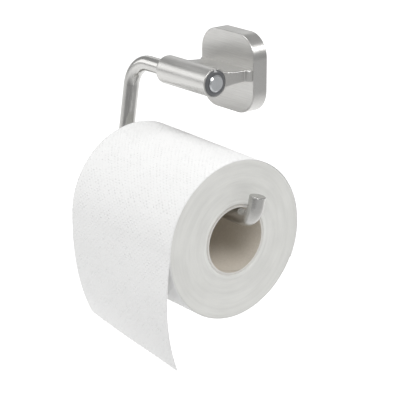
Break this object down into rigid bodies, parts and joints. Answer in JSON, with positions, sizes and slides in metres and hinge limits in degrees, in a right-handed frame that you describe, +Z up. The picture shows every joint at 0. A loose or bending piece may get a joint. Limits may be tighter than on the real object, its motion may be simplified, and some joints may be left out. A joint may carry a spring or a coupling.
{
  "type": "toilet paper holder",
  "caption": "Wall-hung holder with a square rosette, a short round barrel and a bent rod arm that swings out and carries one hanging paper roll.",
  "frame": {"origin": "middle of the wall bracket's back face, on the wall's surface, halfway between its two screw holes", "axes": "+Z is up, +Y goes into the wall, +X runs along the arm from its elbow to its open tip"},
  "size_m": [0.1394, 0.1018, 0.1864],
  "materials": {
    "brushed_steel": "satin",
    "zinc_plated_steel": "satin",
    "spring_steel": "satin",
    "bush_plastic": "matte",
    "dark_plastic": "satin",
    "cap_chrome": "polished",
    "core_cardboard": "matte",
    "tissue": "matte"
  },
  "bodies": {
    "holder": {"wall_bracket": "zinc_plated_steel", "rosette": "brushed_steel", "post": "brushed_steel", "post_screws": "zinc_plated_steel", "post_washers": "zinc_plated_steel", "rosette_grub_screw": "zinc_plated_steel", "inner_bush": "bush_plastic", "outer_bush": "bush_plastic", "thrust_washer": "bush_plastic", "wave_washer": "spring_steel", "seat_ring": "dark_plastic", "end_cap": "cap_chrome"},
    "arm": {"hanger_rod": "brushed_steel", "arm_end_washer": "zinc_plated_steel", "arm_lock_washer": "spring_steel", "arm_screw": "zinc_plated_steel"},
    "hanging_sheet": {"loose_sheet": "tissue"},
    "roll": {"cardboard_core": "core_cardboard", "paper_roll": "tissue"}
  },
  "joints": [
    {"name": "arm_swing", "type": "hinge", "parent": "holder", "child": "arm", "pos_m": [0, -0.0375, 0], "axis": [-1, 0, 0], "range_deg": [0, 120]},
    {"name": "roll_hang", "type": "hinge", "parent": "arm", "child": "hanging_sheet", "pos_m": [0.007, -0.04813, -0.07113], "axis": [0.9996, -0.0043, -0.0285], "range_deg": [0, 120]},
    {"name": "roll_spin", "type": "hinge", "parent": "hanging_sheet", "child": "roll", "pos_m": [0.007, -0.0508, -0.08609], "axis": [0.9996, -0.0043, -0.0285], "continuous": true}
  ],
  "couplings": [
    {"joint": "roll_hang", "follows": "arm_swing", "ratio": 1}
  ]
}
